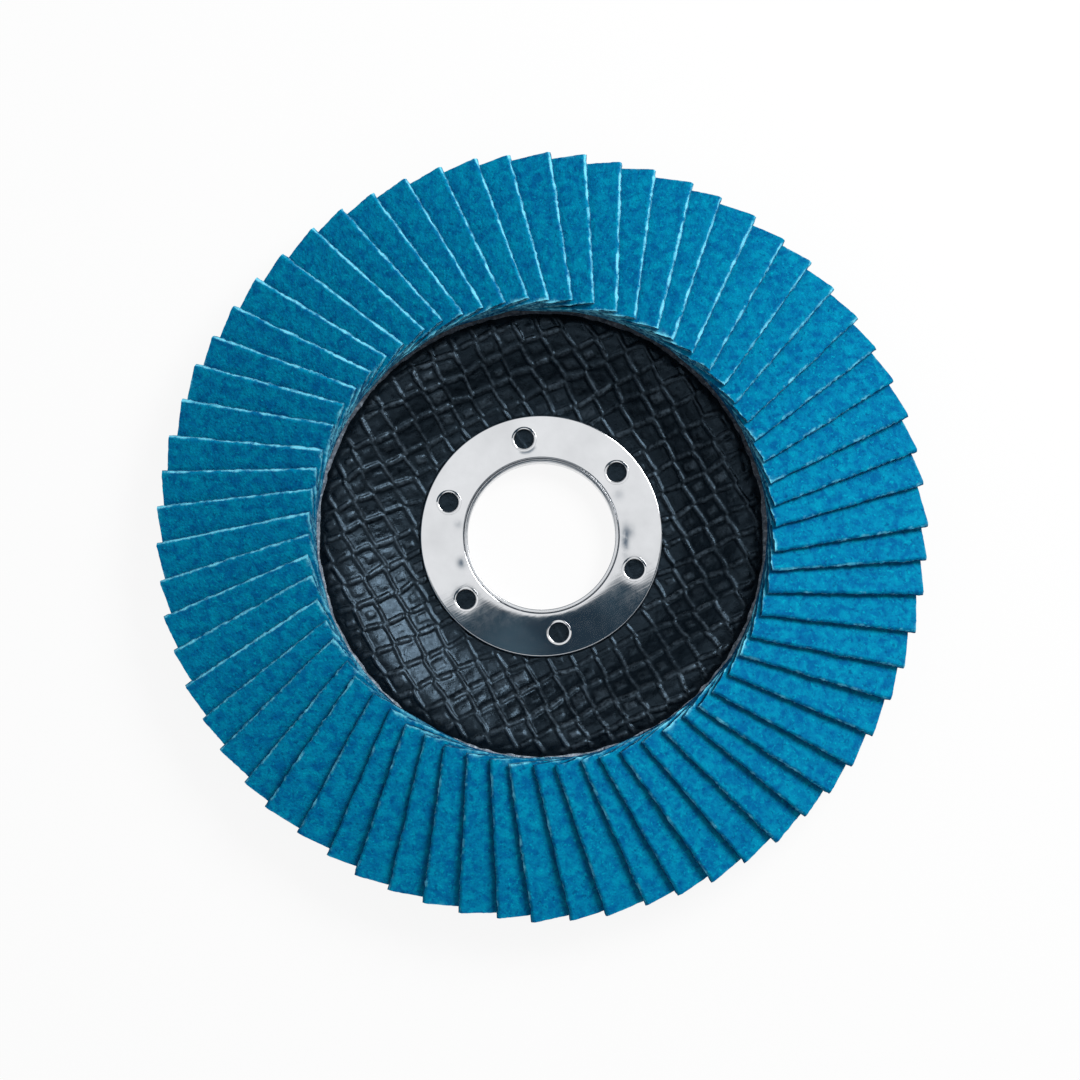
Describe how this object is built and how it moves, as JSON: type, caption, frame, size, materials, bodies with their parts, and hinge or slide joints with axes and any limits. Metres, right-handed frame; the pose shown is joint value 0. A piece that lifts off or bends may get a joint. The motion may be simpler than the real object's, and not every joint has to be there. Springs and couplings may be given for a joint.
{
  "type": "flap disc",
  "caption": "Conical grinding disc: overlapping abrasive cloth flaps set in resin on a depressed-centre fibreglass plate, with a steel-ringed arbor bore.",
  "frame": {"origin": "centre of the arbor bore on the rear seating face, which is also the lowest face", "axes": "+Z along the bore axis out of the working face; +X and +Y lie in the seating plane, with one pierced hole of the front ring 40.2 degrees from +X towards +Y"},
  "size_m": [0.1146, 0.1146, 0.0135],
  "materials": {
    "flap_cloth": "abrasive grain in a blue size coat on woven cloth, matt with a fine sparkle, pale frayed cut edges",
    "plate_fibreglass": "black resin-bonded glass-fibre moulding, semi-gloss, open mesh printed through the skin",
    "ring_steel": "bright plated pressed steel, lightly rippled",
    "collar_steel": "plated pressed steel, satin",
    "adhesive_resin": "hardened grey-brown resin, matt and uneven"
  },
  "bodies": {
    "root": {"front_ring": "ring_steel", "rear_ring": "collar_steel", "backing_plate": "plate_fibreglass", "adhesive_bed": "adhesive_resin", "flap_pair_01": "flap_cloth", "flap_pair_02": "flap_cloth", "flap_pair_03": "flap_cloth", "flap_pair_04": "flap_cloth", "flap_pair_05": "flap_cloth", "flap_pair_06": "flap_cloth", "flap_pair_07": "flap_cloth", "flap_pair_08": "flap_cloth", "flap_pair_09": "flap_cloth", "flap_pair_10": "flap_cloth", "flap_pair_11": "flap_cloth", "flap_pair_12": "flap_cloth", "flap_pair_13": "flap_cloth", "flap_pair_14": "flap_cloth", "flap_pair_15": "flap_cloth", "flap_pair_16": "flap_cloth", "flap_pair_17": "flap_cloth", "flap_pair_18": "flap_cloth", "flap_pair_19": "flap_cloth", "flap_pair_20": "flap_cloth", "flap_pair_21": "flap_cloth", "flap_pair_22": "flap_cloth", "flap_pair_23": "flap_cloth", "flap_pair_24": "flap_cloth", "flap_pair_25": "flap_cloth", "flap_pair_26": "flap_cloth", "flap_pair_27": "flap_cloth", "flap_pair_28": "flap_cloth", "flap_pair_29": "flap_cloth", "flap_pair_30": "flap_cloth", "flap_pair_31": "flap_cloth", "flap_pair_32": "flap_cloth", "flap_pair_33": "flap_cloth"}
  },
  "joints": []
}
